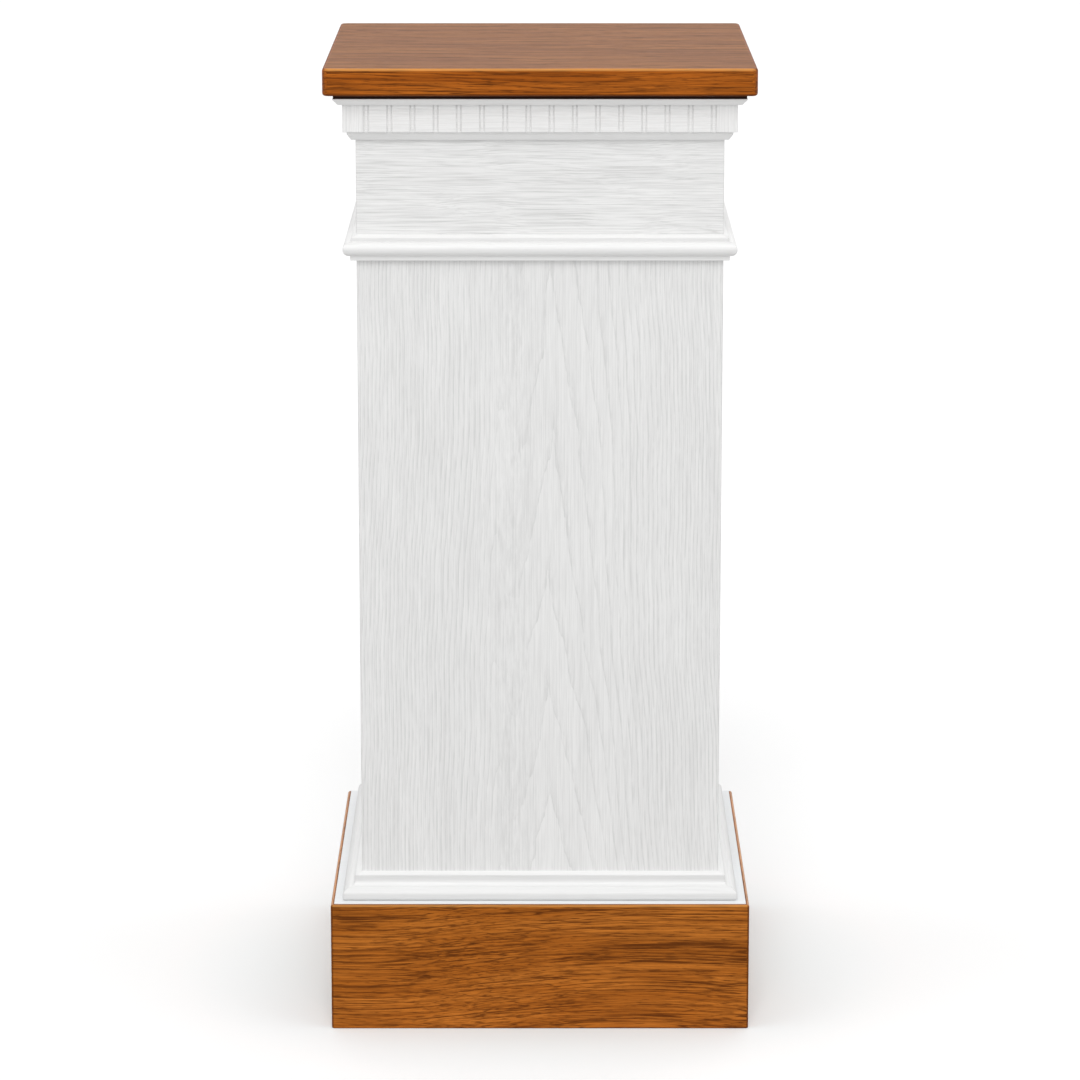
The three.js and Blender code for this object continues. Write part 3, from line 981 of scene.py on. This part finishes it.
def curveTo(start, control, end, steps):
    points = []
    for s in range(steps + 1):
        t = s / steps
        x = start[0] * (1 - t) ** 2 + control[0] * 2 * t * (1 - t) + end[0] * t ** 2
        y = start[1] * (1 - t) ** 2 + control[1] * 2 * t * (1 - t) + end[1] * t ** 2
        points.append((x, y, 0))
    return points


def baseCapProfile(cfg, height):
    out = cfg["shoulderOut"]
    shoulder = cfg["heelHeight"] + cfg["shoulderFace"]
    shoulderTop = shoulder + cfg["shoulderHeight"]
    coveTop = shoulderTop + cfg["coveHeight"]
    coveFoot = cfg["filletOut"] + cfg["coveDepth"]
    filletTop = coveTop + cfg["filletHeight"]
    bulge = (out, shoulder + cfg["shoulderHeight"] / 2)
    swell = curveTo((out, shoulder), bulge, (out - cfg["shoulderDepth"], shoulderTop), 10)
    return softCorners([
        (0, 0, 0),
        *arc(out - cfg["heelDepth"], cfg["heelHeight"], cfg["heelDepth"], cfg["heelHeight"], -90, 0, 8),
        *swell,
        *arc(coveFoot, coveTop, cfg["coveDepth"], cfg["coveHeight"], -90, -180, 10),
        (cfg["filletOut"], filletTop, cfg["ease"]),
        (cfg["ledge"], height, 0),
        (0, height, 0),
    ])


def makeMoulding(kind, node, profileOf, cfg, material):
    low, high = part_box(node + "_front")
    profile = profileOf(cfg, high.z - low.z)
    for quarter, side in enumerate(sides):
        mesh = mitredRun(kind, profile, low.z, cornerSoftness)
        writeBoard(mesh, alongX, randomOffset())
        turnToSide(mesh, quarter)
        finishPiece(f"{kind}_{side}", mesh, material, "white_paint", f"{node}_{side}")
    print(kind, "made")


# dentil course

dentilSettings = {
    "count": 15,
    "gap": 0.0050,
    "relief": 0.0015,
    "ribWidth": 0.0028,  # up the middle of each gap, with a groove to either side
    "ribBehind": 0.0003,
    "ease": 0.0006,
    "blockEase": 0.0007,
    "seat": 0.0003,      # how far a dentil is let into its backing
    "wobble": 0.00006,
    "seed": 4,
}


def linkTree(tree, *pairs):
    for source, target in pairs:
        tree.links.new(source, target)


def dentilTree():
    tree = bpy.data.node_groups.new("dentilRow", "GeometryNodeTree")
    sockets = [
        ("Geometry", "NodeSocketGeometry"),
        ("Count", "NodeSocketInt"),
        ("Pitch", "NodeSocketFloat"),
        ("Backing", "NodeSocketObject"),
        ("Wobble", "NodeSocketFloat"),
        ("Seed", "NodeSocketInt"),
        ("Paint", "NodeSocketMaterial"),
    ]
    for name, kind in sockets:
        tree.interface.new_socket(name, in_out="INPUT", socket_type=kind)
    tree.interface.new_socket("Geometry", in_out="OUTPUT", socket_type="NodeSocketGeometry")
    start = tree.nodes.new("NodeGroupInput")
    end = tree.nodes.new("NodeGroupOutput")
    lessOne = mathNode(tree, "SUBTRACT", start.outputs["Count"], 1.0)
    half = mathNode(tree, "MULTIPLY", mathNode(tree, "MULTIPLY", lessOne, start.outputs["Pitch"]), -0.5)
    first = tree.nodes.new("ShaderNodeCombineXYZ")
    step = tree.nodes.new("ShaderNodeCombineXYZ")
    line = tree.nodes.new("GeometryNodeMeshLine")
    line.mode = "OFFSET"
    jitter = tree.nodes.new("FunctionNodeRandomValue")
    jitter.data_type = "FLOAT"
    jitterLow = mathNode(tree, "MULTIPLY", start.outputs["Wobble"], -1.0)
    shift = tree.nodes.new("ShaderNodeCombineXYZ")
    move = tree.nodes.new("GeometryNodeSetPosition")
    place = tree.nodes.new("GeometryNodeInstanceOnPoints")
    backing = tree.nodes.new("GeometryNodeObjectInfo")
    join = tree.nodes.new("GeometryNodeJoinGeometry")
    realize = tree.nodes.new("GeometryNodeRealizeInstances")
    paint = tree.nodes.new("GeometryNodeSetMaterial")
    linkTree(
        tree,
        (half, first.inputs["X"]),
        (start.outputs["Pitch"], step.inputs["X"]),
        (start.outputs["Count"], line.inputs["Count"]),
        (first.outputs[0], line.inputs["Start Location"]),
        (step.outputs[0], line.inputs["Offset"]),
        (jitterLow, jitter.inputs["Min"]),
        (start.outputs["Wobble"], jitter.inputs["Max"]),
        (start.outputs["Seed"], jitter.inputs["Seed"]),
        (jitter.outputs["Value"], shift.inputs["X"]),
        (line.outputs["Mesh"], move.inputs["Geometry"]),
        (shift.outputs[0], move.inputs["Offset"]),
        (move.outputs["Geometry"], place.inputs["Points"]),
        (start.outputs["Geometry"], place.inputs["Instance"]),
        (start.outputs["Backing"], backing.inputs["Object"]),
        (backing.outputs["Geometry"], join.inputs["Geometry"]),
        (place.outputs["Instances"], join.inputs["Geometry"]),
        (join.outputs["Geometry"], realize.inputs["Geometry"]),
        (realize.outputs["Geometry"], paint.inputs["Geometry"]),
        (start.outputs["Paint"], paint.inputs["Material"]),
        (paint.outputs["Geometry"], end.inputs["Geometry"]),
    )
    return tree


def softPrism(name, outline, low, high, ease, steps=3):
    rings = []
    for level, inset in easedSteps(high - low, ease, steps):
        rings.append([(p.x, p.y, low + level) for p in insetOutline(outline, inset)])
    return loft(name, rings)


def growRow(tree, values):
    # runs the tree on one dentil and gives back a plain mesh
    block = values.pop("Geometry")
    row = bpy.data.objects.new("dentilRow", block)
    scene.collection.objects.link(row)
    modifier = row.modifiers.new("row", "NODES")
    modifier.node_group = tree
    for item in tree.interface.items_tree:
        if item.in_out == "INPUT" and item.name in values:
            modifier[item.identifier] = values[item.name]
    bpy.context.view_layer.update()
    grown = row.evaluated_get(bpy.context.evaluated_depsgraph_get())
    mesh = bpy.data.meshes.new_from_object(grown)
    row.modifiers.remove(modifier)
    bpy.data.objects.remove(row)
    return mesh


def makeDentils(cfg, material):
    low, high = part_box("dentil_strip_front")
    span = high.x - low.x
    width = (span - (cfg["count"] + 1) * cfg["gap"]) / cfg["count"]
    face = low.y
    recess = face + cfg["relief"]
    block = softPrism("dentil", softCorners([
        (-width / 2, face, cfg["ease"]),
        (width / 2, face, cfg["ease"]),
        (width / 2, recess + cfg["seat"], 0),
        (-width / 2, recess + cfg["seat"], 0),
    ]), low.z, high.z, cfg["ease"])
    comb = [(low.x, recess, 0)]
    for gap in range(cfg["count"] + 1):
        middle = low.x + cfg["gap"] / 2 + gap * (width + cfg["gap"])
        left = middle - cfg["ribWidth"] / 2
        right = middle + cfg["ribWidth"] / 2
        comb += [
            (left, recess, 0),
            (left, face + cfg["ribBehind"], cfg["ease"]),
            (right, face + cfg["ribBehind"], cfg["ease"]),
            (right, recess, 0),
        ]
    comb += [(high.x, recess, 0), (high.x, high.y, 0), (low.x, high.y, 0)]
    strip = softPrism("dentilBacking", softCorners(comb, 3), low.z, high.z, cfg["ease"] / 2)
    backing = bpy.data.objects.new("dentilBacking", strip)
    tree = dentilTree()
    for quarter, side in enumerate(sides):
        mesh = growRow(tree, {
            "Geometry": block,
            "Count": cfg["count"],
            "Pitch": width + cfg["gap"],
            "Backing": backing,
            "Wobble": cfg["wobble"],
            "Seed": cfg["seed"] + quarter,
            "Paint": material,
        })
        mesh.name = "dentilStrip"
        writeBoard(mesh, alongX, randomOffset())
        turnToSide(mesh, quarter)
        finishPiece(f"dentilStrip_{side}", mesh, material, "white_paint", f"dentil_strip_{side}")
    bpy.data.objects.remove(backing)
    print("dentil strips made")


def makeCornerBlocks(cfg, material):
    low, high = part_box("dentil_corner_front_right")
    outline = softCorners([
        (low.x, low.y, cfg["blockEase"]),
        (high.x, low.y, cfg["blockEase"]),
        (high.x, high.y, cfg["blockEase"]),
        (columnHalf, high.y, 0),
        (columnHalf, -columnHalf, 0),
        (low.x, -columnHalf, 0),
    ])
    for quarter, corner in enumerate(corners):
        mesh = softPrism("dentilCorner", outline, low.z, high.z, cfg["ease"])
        writeBoard(mesh, alongZ, randomOffset())
        turnToSide(mesh, quarter)
        finishPiece(f"dentilCorner_{corner}", mesh, material, "white_paint", f"dentil_corner_{corner}")
    print("corner blocks made")


# boards

boardSettings = {"corner": 0.0008, "edge": 0.0003}
plinthSettings = {"arris": 0.0024, "heel": 0.0012, "corner": 0.0026}
lidSettings = {"edge": 0.0003, "corner": 0.0008, "clearance": 0.0003}

# how far each side's grain is shifted, so that no two sides match: front, right, back, left
shaftOffsets = [(0, 0, 0), (0.06, 0.021, 0.3), (0.11, -0.017, 0.7), (0.02, 0.012, 1.1)]
friezeOffsets = [(0, 0, 0), (1.3, 0.2, 0.4), (2.6, 0.5, 0.9), (3.9, 0.8, 1.3)]
plinthOffsets = [(0, 0, 0), (1.7, 0.31, 0.2), (3.1, 0.77, 0.5), (4.9, 1.13, 0.8)]


def makeBoards(kind, node, order, cfg, material, offsets):
    low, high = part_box(node + "_front")
    profile = softCorners([
        (low.y - high.y, 0, 0),
        (0, 0, cfg["edge"]),
        (0, high.z - low.z, cfg["edge"]),
        (low.y - high.y, high.z - low.z, 0),
    ])
    for quarter, side in enumerate(sides):
        mesh = mitredRun(kind, profile, low.z, cfg["corner"])
        writeBoard(mesh, order, offsets[quarter])
        turnToSide(mesh, quarter)
        finishPiece(f"{kind}_{side}", mesh, material, "white_paint", f"{node}_{side}")
    print(kind, "made")


def makePlinth(cfg, material):
    low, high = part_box("plinth_board_front")
    out = -low.y - columnHalf
    inner = -high.y - columnHalf
    height = high.z - low.z
    profile = softCorners([
        (inner, 0, 0),
        (out, 0, cfg["heel"]),
        (out, height, cfg["arris"]),
        (inner, height, 0),
    ], 7)
    for quarter, side in enumerate(sides):
        mesh = mitredRun("plinthBoard", profile, low.z, cfg["corner"], 6)
        writeBoard(mesh, alongX, plinthOffsets[quarter])
        writeWearAndPaintedLight(mesh, -low.y, low.z, high.z, cfg["arris"], cfg["heel"])
        turnToSide(mesh, quarter)
        finishPiece(f"plinthBoard_{side}", mesh, material, "stained_oak", f"plinth_board_{side}")
    print("plinth made")


def makeLid(cfg, material):
    low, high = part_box("plinth_lid")
    inner = columnHalf + cfg["clearance"]
    section = softCorners([
        (inner, low.z, 0),
        (high.x, low.z, cfg["edge"]),
        (high.x, high.z, cfg["edge"]),
        (inner, high.z, 0),
    ])
    rings = []
    for quarter in range(4):
        for s in range(5):
            angle = math.radians(-90 + 90 * quarter + 90 * s / 4)
            sign = Vector(((1, -1), (1, 1), (-1, 1), (-1, -1))[quarter])
            ring = []
            for p in section:
                radius = cfg["corner"] if p.x > inner + tiny else 0.0
                spot = sign * (p.x - radius) + Vector((math.cos(angle), math.sin(angle))) * radius
                ring.append((spot.x, spot.y, p.y))
            rings.append(ring)
    mesh = loft("plinthLid", rings, closed=True)
    writeBoard(mesh, alongSlab, randomOffset())
    finishPiece("plinthLid", mesh, material, "white_paint", "plinth_lid")
    print("lid made")


# what stays as the frame has it

def dress(name, material):
    mesh = nodes[name].data
    mesh.materials.clear()
    mesh.materials.append(material)


def dressCarcass():
    dress("subtop_panel", darkStainAndShade(darkStainAndShadeSettings))
    postPine = barePine("pineUpright", pineSettings, (False, False, True))
    crossPine = barePine("pineAcross", pineSettings, (True, False, False))
    deepPine = barePine("pineFrontToBack", pineSettings, (False, True, False))
    ply = birchPly(plySettings)
    zinc = zincPlate(zincSettings)
    for corner in corners:
        dress("corner_post_" + corner, postPine)
        dress("plinth_spline_" + corner, ply)
    for side in sides:
        dress("plinth_ground_" + side, ply)
        dress("slab_screw_" + side, zinc)
        dress("top_cleat_" + side, crossPine if side in ("front", "back") else deepPine)
    print("carcass dressed")


addCamera(cameraSettings)
addWorld(lightSettings)
addFloor(floorSettings)
addLamps(lightSettings)
scene.view_settings.view_transform = "Standard"
print("camera and light set")

slabOak = stainedOak("stainedOakSlab", slabStain)
plinthOak = stainedOak("stainedOakPlinth", plinthStain)
shaftPaint = paintedShaft(boardPaintSettings)
friezePaint = paintedRail("paintedFriezeGrain", friezePaintSettings, figureStrength["frieze"])
dentilPaint = paintedRail("paintedDentilGrain", mouldingPaintSettings, figureStrength["dentils"])
onMouldings = figureStrength["mouldings"]
mouldingPaint = paintedRail("paintedMouldingGrain", mouldingPaintSettings, onMouldings)
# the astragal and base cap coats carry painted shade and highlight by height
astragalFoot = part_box("astragal_front")[0].z
paintedShadeStops = astragalShadeStops(astragalPaintedShade, astragalSettings)
astragalPaintAndShade = paintedRail("paintedAstragalGrainAndShade", mouldingPaintSettings, onMouldings, paintedShadeStops, astragalFoot)
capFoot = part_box("base_cap_front")[0].z
paintedShadeStops = baseCapShadeStops(baseCapPaintedShade, baseCapSettings)
capPaintAndShade = paintedRail("paintedCapGrainAndShade", mouldingPaintSettings, onMouldings, paintedShadeStops, capFoot)
lidPaintAndShade = paintedRail("paintedLidGrainAndShade", lidPaintAndShadeSettings, onMouldings)

makeSlab(slabSettings, slabOak)
makeMoulding("crownMoulding", "crown", splayProfile, crownSettings, mouldingPaint)
makeMoulding("bedMoulding", "bed_mould", splayProfile, bedSettings, mouldingPaint)
makeMoulding("astragal", "astragal", astragalProfile, astragalSettings, astragalPaintAndShade)
makeMoulding("baseCap", "base_cap", baseCapProfile, baseCapSettings, capPaintAndShade)
makeDentils(dentilSettings, dentilPaint)
makeCornerBlocks(dentilSettings, dentilPaint)
makeBoards("shaftBoard", "shaft_board", alongZ, boardSettings, shaftPaint, shaftOffsets)
makeBoards("friezeBoard", "frieze_board", alongX, boardSettings, friezePaint, friezeOffsets)
makePlinth(plinthSettings, plinthOak)
makeLid(lidSettings, lidPaintAndShade)
dressCarcass()
